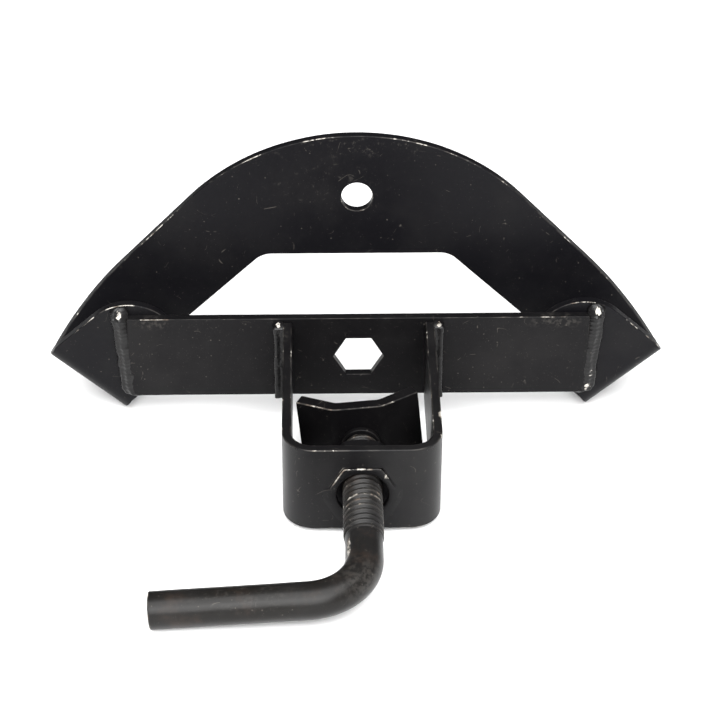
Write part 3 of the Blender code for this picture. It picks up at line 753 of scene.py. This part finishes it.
def build_end_welds():
    end_x, steps = BAR_LENGTH / 2, 110
    low, high = BAR_LOW - 1.6 * MM, BAR_HIGH + 5.4 * MM
    for hand, side, seed in (("left", -1, 5), ("right", 1, 9)):
        path = []
        for i in range(steps + 1):
            t = i / steps
            z = low + (high - low) * t
            curl = max(0.0, 1 - t / 0.12)
            lean = 2.6 * MM * max(0.0, t - 0.45) / 0.55 - 1.3 * MM * max(0.0, 0.6 - t) / 0.6
            x = end_x + lean + 0.5 * MM * ripple(t * 5, seed=seed) - 4.0 * MM * curl ** 1.6
            path.append((Vector((side * x, TAB_FACE, z - 0.6 * MM * curl)), t))

        def section(t):
            tip = min(1.0, min(t / 0.05, (1 - t) / 0.06) + 0.1) ** 0.5
            wide = (6.6 + 0.5 * ripple(t * 7, seed=seed + 2)) * MM * tip
            fade = min(1.0, max(0.0, (high - low) * (1 - t) - 3.0 * MM) / (4.0 * MM))
            tall = (STEEL * (0.55 + 0.45 * fade) + 0.7 * MM) * tip
            scallop = 1 + 0.012 * math.sin(t * 2 * math.pi * 23 + 2 * ripple(t * 9, seed=seed + 3))
            points = [(-3.4 * MM * tip, -0.4 * MM, None), (-3.1 * MM * tip, 0.8 * tall, 0.0)]
            for k in range(15):
                turn = math.radians(125 - 125 * k / 14)
                ridge = 1 + 0.16 * math.sin(turn * 3.2 + 0.6)
                points.append((wide * (0.5 + 0.5 * math.cos(turn)) * scallop,
                               tall * math.sin(turn) ** 0.7 * scallop * ridge, 0.0))
            points.append((wide * 0.97, -0.4 * MM, None))
            return points

        x = side * (end_x + 4.4 * MM)
        chips = [((x, 0.001, BAR_HIGH + 2.6 * MM), (0.0032, 0.006, 0.006), 0.47)]
        if side == 1:
            chips += [((x - 0.002, 0.0, BAR_LOW + 13 * MM), (0.003, 0.006, 0.005), 0.52),
                      ((x - 0.003, 0.0, BAR_LOW + 3 * MM), (0.004, 0.006, 0.006), 0.52)]
        finish_weld("end", hand, bead(path, side, section, 0.06, seed), chips)


def build_strap_welds():
    low, high, steps = STRAP_LOW + 1.5 * MM, BAR_HIGH - 1.5 * MM, 90
    for hand, side, seed in (("left", -1, 13), ("right", 1, 17)):
        path = []
        for i in range(steps + 1):
            t = i / steps
            path.append((Vector((side * STRAP_WIDTH / 2, 0, low + (high - low) * t)), t))

        def section(t):
            tip = min(1.0, min(t / 0.04, (1 - t) / 0.04) + 0.15) ** 0.5
            size = (6.3 + 0.6 * max(0.0, t - 0.85) / 0.15 + 0.5 * ripple(t * 6, seed=seed + 2)) * MM * tip
            scallop = 1 + 0.01 * math.sin(t * 2 * math.pi * 21 + 2 * ripple(t * 8, seed=seed + 3))
            points = [(-0.5 * MM, -0.4 * MM, None), (size, -0.4 * MM, None)]
            for k in range(15):
                turn = math.radians(90 * k / 14)
                bulge = 0.78 + 0.12 * math.cos(2 * (turn - math.pi / 4)) + 0.035 * math.sin(turn * 9)
                reach = size * scallop * bulge * (1 / max(math.cos(turn), math.sin(turn))) ** 0.55
                points.append((reach * math.cos(turn), reach * math.sin(turn), 0.0))
            points.append((-0.5 * MM, size, None))
            return points

        x = side * (STRAP_WIDTH / 2 + 2.5 * MM)
        chips = [((x, -0.003, high - 1.0 * MM), (0.003, 0.004, 0.004), 0.47)]
        finish_weld("strap", hand, bead(path, side, section, 0.05, seed), chips)


# ------------------------ nut

NUT_FRONT = -STRAP_DEPTH - NUT_PROUD
NUT_BACK = NUT_FRONT + NUT_LENGTH


def hex_reach(angle):
    """The nut's sharp hexagon, from the screw's axis."""
    return NUT_FLATS / 2 / math.cos(angle % (math.pi / 3) - math.pi / 6)


def build_clamp_nut():
    across = NUT_FLATS / 2
    bore = THREAD_RADIUS + GAP
    mouth = NUT_FRONT + NUT_MOUTH_DEPTH

    def outline(angle):
        return min(hex_reach(angle), across * HEX_CORNER - 0.35 * MM)

    plan = []
    for i in range(5):
        turn = math.pi / 2 * i / 4
        inset, y = NUT_ROUNDING * (1 - math.sin(turn)), NUT_FRONT + NUT_ROUNDING * (1 - math.cos(turn))
        plan.append((y, lambda a, d=inset: outline(a) - d, math.sin(2 * turn)))
    plan.append((NUT_BACK - 3.2 * MM, outline, 0.0))
    for i in range(1, 6):
        share = i / 5
        limit = across * HEX_CORNER - share * 3.0 * MM
        plan.append((NUT_BACK - NUT_CHAMFER + NUT_CHAMFER * share,
                     lambda a, m=limit: min(outline(a), m), 0.3))
    plan += [
        (NUT_BACK, bore + 1.2 * MM, 0.2),
        (NUT_BACK - 1.2 * MM, bore, 0.0),
        (mouth + 2.2 * MM, bore, 0.0),
        (mouth + 0.4 * MM, NUT_MOUTH_RADIUS - 1.2 * MM, 0.1),
        (mouth - 0.6 * MM, NUT_MOUTH_RADIUS, 0.0),
        (NUT_FRONT + 0.9 * MM, NUT_MOUTH_RADIUS, 0.0),
        (NUT_FRONT + 0.3 * MM, NUT_MOUTH_RADIUS + 0.2 * MM, 0.3),
        (NUT_FRONT, NUT_MOUTH_RADIUS + 0.8 * MM, 0.0),
    ]
    loops = turned(plan)
    worn = []
    for (y, _, edge), ring in zip(plan, loops):
        for v in ring:
            top = max(0.0, (v.z - SCREW_Z) / across)
            worn.append(edge * min(1.0, top * 2.0) if y < -STRAP_DEPTH + 1 * MM else 0.0)
    verts, faces = rings(loops, wrap=True)
    chips = [((-0.001, NUT_FRONT, SCREW_Z + across), (0.0115, 0.002, 0.0012), 0.56),
             ((-0.014, NUT_FRONT, SCREW_Z + 0.01), (0.004, 0.002, 0.006), 0.58),
             ((0.0125, NUT_FRONT, SCREW_Z + 0.012), (0.003, 0.002, 0.004), 0.57)]
    frayed = [((-0.002, NUT_FRONT, SCREW_Z + 0.014), (0.022, 0.003, 0.01), 0.1)]
    material = paint("nut_paint", gloss=0.38, haze=0.4, dust=0.8, edge=0.53, bright=0.58, chips=chips,
                     frayed=frayed, sheen=1.25)
    finish_mesh("long_nut", verts, faces, worn, "frame", ["clamp_nut"], "painted_steel", material, sharp=32)


def build_nut_weld():
    """Paint-filled weld in the seam round the nut: sunk over its upper part, flush over the rest."""
    steps = 144
    centre = Vector((0, 0, SCREW_Z))
    seam = -STRAP_DEPTH + 1.2 * MM
    loops = []
    for k in range(steps):
        angle = 2 * math.pi * k / steps
        out = Vector((math.cos(angle), 0, math.sin(angle)))
        sunk = min(1.0, max(0.0, (math.sin(angle) - 0.2) / 0.22))
        lump = 0.05 * MM * ripple(k * 0.25, seed=21)
        soft = min(hex_reach(angle), NUT_FLATS / 2 * HEX_CORNER - 1.3 * MM)
        inner, outer = -1.6 * MM * (1 - sunk), 2.6 * MM * (1 - sunk) + 0.35 * MM * sunk
        near = NUT_FRONT - (0.04 * MM + lump) * (1 - sunk) + 0.9 * MM * sunk
        far = -STRAP_DEPTH - 0.03 * MM * (1 - sunk) + 0.6 * MM * sunk
        inside = centre + out * (soft + inner - 0.2 * MM)
        loops.append([
            inside + Vector((0, near + 0.1 * MM, 0)),
            centre + out * (soft + inner * 0.6) + Vector((0, near, 0)),
            centre + out * (soft + outer * 0.5) + Vector((0, near * 0.5 + far * 0.5, 0)),
            centre + out * (soft + outer) + Vector((0, far, 0)),
            centre + out * (soft + outer + 0.1 * MM) + Vector((0, seam, 0)),
            inside + Vector((0, seam, 0)),
        ])
    verts, faces = rings(loops, wrap=True)
    material = paint("nut_bead_paint", sheen=1.25, gloss=0.36, haze=0.6, dust=0.9, edge=0.545)
    finish_mesh("nut_bead", verts, faces, [0.0] * len(verts), "frame", ["nut_weld"], "weld_bead", material,
                sharp=24)


# ------------------------ screw, washer and saddle

SADDLE_BACK = SADDLE_FACE - SADDLE_STEEL
WASHER_Y = SADDLE_BACK - GAP - WASHER_THICKNESS
SHOULDER_Y = WASHER_Y - GAP
THREAD_END = -STRAP_DEPTH - THREAD_OUTSIDE


def thread_height(turns):
    """Share of the thread's full depth at a place along its profile, in turns."""
    t = turns % 1.0
    flank = 0.36
    if t < flank:
        rise = t / flank
    elif t < 0.5:
        rise = 1.0
    elif t < 0.5 + flank:
        rise = 1 - (t - 0.5) / flank
    else:
        rise = 0.0
    return rise * rise * (3 - 2 * rise)


def build_clamp_screw():
    round_steps, thread_steps, point = 80, 20, 0.02 * MM
    forward = Vector((0, -1, 0))
    sideways = Vector((-math.cos(HANDLE_DROOP), 0, -math.sin(HANDLE_DROOP)))
    up = forward.cross(sideways)
    centre = Vector((0, -STRAP_DEPTH - HANDLE_FORWARD + HANDLE_BEND, SCREW_Z))
    loops, worn = [], []

    def ring(at, inward, shape):
        """A loop about at. shape(angle, u, v) is (radius, edge), with u towards inward and v upwards."""
        loop = []
        for k in range(round_steps):
            angle = 2 * math.pi * k / round_steps
            x, z = math.cos(angle), math.sin(angle)
            u = x * sideways.x + z * sideways.z
            v = x * up.x + z * up.z
            radius, edge = shape(angle, u, v)
            loop.append(at + radius * (u * inward + v * up))
            worn.append(edge)
        loops.append(loop)

    def plain(y, radius):
        ring(Vector((0, y, SCREW_Z)), sideways, lambda a, u, v: (radius, 0.0))

    tip = SADDLE_FACE - GAP
    head = PIN_HEAD_RADIUS - 0.8 * MM
    plain(tip, point)
    plain(tip - 0.1 * MM, head - 1.5 * MM)
    plain(tip - 0.3 * MM, head - 0.3 * MM)
    plain(tip - (head - PIN_RADIUS) - 0.3 * MM, PIN_RADIUS)
    plain(SHOULDER_Y + 0.05 * MM, PIN_RADIUS)
    plain(SHOULDER_Y, PIN_RADIUS + 0.1 * MM)
    plain(SHOULDER_Y, THREAD_ROOT - 0.9 * MM)
    plain(SHOULDER_Y - 0.9 * MM, THREAD_ROOT)
    first = SHOULDER_Y - 1.4 * MM
    length = first - THREAD_END + 1.5 * MM
    count = int(length / THREAD_PITCH * thread_steps)
    for i in range(count + 1):
        y = first - length * i / count
        fade_in = min(1.0, (first - y) / (3 * MM))
        fade_out = min(1.0, max(0.0, (y - THREAD_END + 1.5 * MM) / (3.5 * MM)))

        def thread(angle, u, v):
            height = thread_height((first - y) / THREAD_PITCH - angle / (2 * math.pi))
            base = THREAD_ROOT + (THREAD_RADIUS - THREAD_ROOT) * height * fade_in
            lump = 0.06 * MM * ripple(angle * 3, y * 240, seed=25)
            radius = (ROD_RADIUS + (base - ROD_RADIUS) * fade_out) + lump * fade_out
            return radius, 0.8 * max(0.0, (height - 0.6) / 0.4) * fade_out

        ring(Vector((0, y, SCREW_Z)), sideways, thread)

    def rod(run, crease=True):
        """The rod at run past the thread, wrinkled inside its bend, and worn there if crease."""
        def shape(angle, u, v):
            wobble = 0.07 * MM * (ripple(math.cos(angle) * 1.5, run * 60, math.sin(angle) * 1.5, 27) - 1)
            near = math.exp(-((run - 16 * MM) / (11 * MM)) ** 2)
            wrinkle = max(0.0, u) ** 2 * near * 0.28 * MM * ripple(angle * 4, run * 420, seed=28)
            edge = 0.0
            if crease:
                near = math.exp(-((run - 15 * MM) / (12 * MM)) ** 2)
                patchy = 0.6 + 0.6 * ripple(angle * 5, run * 500, seed=29)
                edge = near * max(0.0, u * 0.8 + v * 0.55) ** 3 * patchy
            return ROD_RADIUS + wobble + wrinkle, edge
        return shape

    start = THREAD_END - 1.5 * MM
    bend_start = -STRAP_DEPTH - HANDLE_FORWARD + HANDLE_BEND
    run = 0.0
    straight = max(0.0, start - bend_start)
    for i in range(1, 9):
        run = straight * i / 8
        ring(Vector((0, start - run, SCREW_Z)), sideways, rod(run))
    bend_steps = 56
    for i in range(1, bend_steps + 1):
        turn = math.pi / 2 * i / bend_steps
        run = straight + HANDLE_BEND * turn
        at = centre + HANDLE_BEND * (math.sin(turn) * forward + (1 - math.cos(turn)) * sideways)
        ring(at, math.cos(turn) * sideways - math.sin(turn) * forward, rod(run))
    end = centre + HANDLE_BEND * forward + HANDLE_REACH * sideways
    begin = centre + HANDLE_BEND * (forward + sideways)
    tail = (end - begin).length
    for i in range(1, 61):
        along = (tail - HANDLE_ROUNDING) * i / 60
        ring(begin + along * sideways, -forward, rod(run + along, crease=False))
    for i in range(1, 5):
        turn = math.pi / 2 * i / 4
        at = end - HANDLE_ROUNDING * (1 - math.sin(turn)) * sideways
        radius = ROD_RADIUS - HANDLE_ROUNDING * (1 - math.cos(turn))
        ring(at, -forward, lambda a, u, v: (radius, math.sin(2 * turn) * 0.9 + 0.1))
    for radius in (5 * MM, point):
        ring(end, -forward, lambda a, u, v: (radius, 0.0))
    verts, faces = rings(loops)
    bend_x = centre.x
    chips = [((bend_x - 0.008, bend_start + 0.003, SCREW_Z + 0.0055), (0.0026, 0.017, 0.004), 0.5)]
    rubs = [((bend_x - 0.004, bend_start - 0.018, SCREW_Z + 0.004), (0.02, 0.02, 0.012), 0.44),
            ((-0.055, bend_start - 0.028, SCREW_Z), (0.05, 0.012, 0.012), 0.52)]
    frayed = [((-0.1035, bend_start - HANDLE_BEND, SCREW_Z - 0.007), (0.006, 0.016, 0.016), 0.09)]
    material = paint("screw_paint", tint=(0.0058, 0.0052, 0.0046), gloss=0.33, haze=0.9, dust=1.3,
                     edge=0.535, bright=0.5, chips=chips, rubs=rubs, frayed=frayed, grain=2.2,
                     brown=0.14, sheen=1.27)
    finish_mesh("j_screw", verts, faces, worn, "screw", ["clamp_screw"], "screw_steel", material)


def build_thrust_washer():
    bore, far = PIN_RADIUS + GAP, WASHER_Y + WASHER_THICKNESS
    plan = [(WASHER_Y, bore + 0.3 * MM, 0.0), (WASHER_Y, WASHER_RADIUS - WASHER_ROUNDING, 0.0)]
    for i in range(1, 5):
        turn = math.pi / 2 * i / 4
        plan.append((WASHER_Y + WASHER_ROUNDING * (1 - math.cos(turn)),
                     WASHER_RADIUS - WASHER_ROUNDING * (1 - math.sin(turn)), 0.3 * math.sin(2 * turn)))
    plan += [(far - 0.4 * MM, WASHER_RADIUS, 0.0), (far, WASHER_RADIUS - 0.4 * MM, 0.0),
             (far, bore + 0.3 * MM, 0.0), (far - 0.3 * MM, bore, 0.0), (WASHER_Y + 0.3 * MM, bore, 0.0)]
    verts, faces = rings(turned(plan), wrap=True)
    worn = [edge for _, _, edge in plan for _ in range(RING_STEPS)]
    material = paint("washer_paint", tint=(0.0024, 0.0022, 0.0024), gloss=0.45, haze=0.3, dust=0.6,
                     edge=0.54, bright=0.5)
    finish_mesh("washer", verts, faces, worn, "carriage", ["thrust_washer"], "screw_steel", material,
                sharp=40)


SADDLE_MIDDLE = SADDLE_BEND + SADDLE_STEEL / 2
SADDLE_FLAT = SADDLE_HALF_FLAT - SADDLE_BEND * math.tan(SADDLE_WING / 2)


def saddle_place(length, height, depth):
    side, run = (-1 if length < 0 else 1), abs(length)
    radius = SADDLE_BEND + depth
    x, y = min(run, SADDLE_FLAT), SADDLE_FACE - depth
    if run > SADDLE_FLAT:
        turn = min((run - SADDLE_FLAT) / SADDLE_MIDDLE, SADDLE_WING)
        x = SADDLE_FLAT + radius * math.sin(turn)
        y = SADDLE_FACE + SADDLE_BEND - radius * math.cos(turn)
        rest = max(run - SADDLE_FLAT - SADDLE_MIDDLE * SADDLE_WING, 0)
        x += rest * math.cos(SADDLE_WING)
        y += rest * math.sin(SADDLE_WING)
    x *= side
    c, s = math.cos(SADDLE_ROLL), math.sin(SADDLE_ROLL)
    return (x * c - height * s, y, SCREW_Z + x * s + height * c)


def build_saddle():
    end = SADDLE_FLAT + SADDLE_MIDDLE * SADDLE_WING
    end += (SADDLE_HALF_WIDTH - SADDLE_HALF_FLAT) / math.cos(SADDLE_WING)
    end -= SADDLE_BEND * math.tan(SADDLE_WING / 2)
    tall = SADDLE_HEIGHT / 2
    corners = [(-end, -tall), (end, -tall), (end, tall), (-end, tall)]
    outline = divided(rounded_polygon(corners, 1.0 * MM), 3 * MM)
    hole = arc(0, 0, PIN_HEAD_RADIUS - 0.2 * MM, 0.05, 2 * math.pi + 0.05, 64)[:-1]
    cuts = bend_cuts(SADDLE_FLAT, SADDLE_MIDDLE * SADDLE_WING, 12)
    verts, faces, normals, worn = sheet([outline, hole], saddle_place, SADDLE_STEEL, cuts,
                                        rounding=0.7 * MM, seed=6)
    material = paint("saddle_paint", tint=(0.0022, 0.002, 0.0023), gloss=0.42, haze=0.25, dust=0.8,
                     edge=0.48, bright=0.5)
    finish_mesh("saddle", verts, faces, worn, "saddle", ["saddle_pad"], "painted_steel", material, normals)


# ------------------------ stage


WORLD_FRONT, WORLD_BACK = 0.45, 0.13  # the studio is brighter behind the camera
FADE_FROM, FADE_TO = -0.45, 0.55
TOP_POWER, FRONT_POWER = 118, 105

FLOOR_HALF, FLOOR_STEPS = 3.0, 12
FLOOR_DROP = 0.4 * MM  # how far the floor lies under the points that it passes
TAB_CORNER_Y = 7.5 * MM

CAMERA_LENS = 120
CAMERA_PLACE = (-0.02216, -1.07158, 0.78077)
CAMERA_RIGHT = (0.99982, -0.01877, 0.00373)
CAMERA_UP = (0.00786, 0.58066, 0.81411)


def floor_material():
    t = Tree("floor")
    tone = t.mix(t.step(t.noise(6, detail=2), 0.3, 0.7), (0.9, 0.9, 0.9), (0.92, 0.92, 0.92))
    t.link(tone, t.shader.inputs["Base Color"])
    t.shader.inputs["Roughness"].default_value = 0.9
    t.shader.inputs["Specular IOR Level"].default_value = 0.1
    return t.material


def build_stage():
    """The floor, tilted to pass just under the tabs' low corners and the low end of the handle."""
    back = Vector((0, TAB_CORNER_Y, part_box("wheel_plate")[0].z))
    front = Vector((0, -STRAP_DEPTH - HANDLE_FORWARD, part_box("clamp_screw")[0].z))
    tilt = math.atan2(back.z - front.z, back.y - front.y)
    side = FLOOR_STEPS + 1
    spots = [FLOOR_HALF * (2 * i / FLOOR_STEPS - 1) for i in range(side)]
    verts = [(x, y, 0) for y in spots for x in spots]
    lows = [j * side + i for j in range(FLOOR_STEPS) for i in range(FLOOR_STEPS)]
    mesh = bpy.data.meshes.new("floor")
    mesh.from_pydata(verts, [], [[k, k + 1, k + side + 1, k + side] for k in lows])
    mesh.materials.append(floor_material())
    floor = bpy.data.objects.new("floor", mesh)
    bpy.context.scene.collection.objects.link(floor)
    place = Matrix.Translation(back - Vector((0, 0, FLOOR_DROP)))
    floor.matrix_world = place @ Matrix.Rotation(tilt, 4, "X")


def add_light(name, place, size, power):
    """A rectangular lamp that faces the origin."""
    data = bpy.data.lights.new(name, "AREA")
    data.shape = "RECTANGLE"
    data.size, data.size_y = size
    data.energy = power
    lamp = bpy.data.objects.new(name, data)
    lamp.location = place
    lamp.rotation_euler = (Vector((0, 0, 0)) - Vector(place)).to_track_quat("-Z", "Y").to_euler()
    bpy.context.scene.collection.objects.link(lamp)


def build_lights():
    world = bpy.data.worlds.new("studio")
    bpy.context.scene.world = world
    world.use_nodes = True
    tree = world.node_tree
    direction = tree.nodes.new("ShaderNodeSeparateXYZ")
    tree.links.new(tree.nodes.new("ShaderNodeTexCoord").outputs["Generated"], direction.inputs[0])
    fade = tree.nodes.new("ShaderNodeMapRange")
    fade.interpolation_type = "SMOOTHSTEP"
    for socket, number in zip(fade.inputs[1:5], (FADE_FROM, FADE_TO, WORLD_FRONT, WORLD_BACK)):
        socket.default_value = number
    tree.links.new(direction.outputs["Y"], fade.inputs[0])
    tree.links.new(fade.outputs[0], tree.nodes["Background"].inputs["Strength"])
    tree.nodes["Background"].inputs["Color"].default_value = (1.0, 1.0, 1.0, 1.0)
    add_light("top", (0.0, -0.86, 1.95), (3.2, 1.9), TOP_POWER)
    add_light("front", (0.0, -2.3, 1.6), (2.4, 1.6), FRONT_POWER)
    scene = bpy.context.scene
    scene.view_settings.view_transform = "Standard"
    scene.view_settings.look = "None"


def build_camera():
    data = bpy.data.cameras.new("camera")
    data.sensor_width = 36
    data.lens = CAMERA_LENS
    data.clip_end = 20
    camera = bpy.data.objects.new("camera", data)
    up = Vector(CAMERA_UP)
    back = Vector(CAMERA_RIGHT).cross(up).normalized()
    right = up.cross(back).normalized()
    up = back.cross(right).normalized()
    turn = Matrix((right, up, back)).transposed().to_4x4()
    camera.matrix_world = Matrix.Translation(CAMERA_PLACE) @ turn
    bpy.context.scene.collection.objects.link(camera)
    bpy.context.scene.camera = camera


build_wheel_plate()
build_cross_bar()
build_clamp_strap()
build_end_welds()
build_strap_welds()
build_clamp_nut()
build_nut_weld()
build_clamp_screw()
build_thrust_washer()
build_saddle()
build_stage()
build_lights()
build_camera()

bpy.context.view_layer.update()
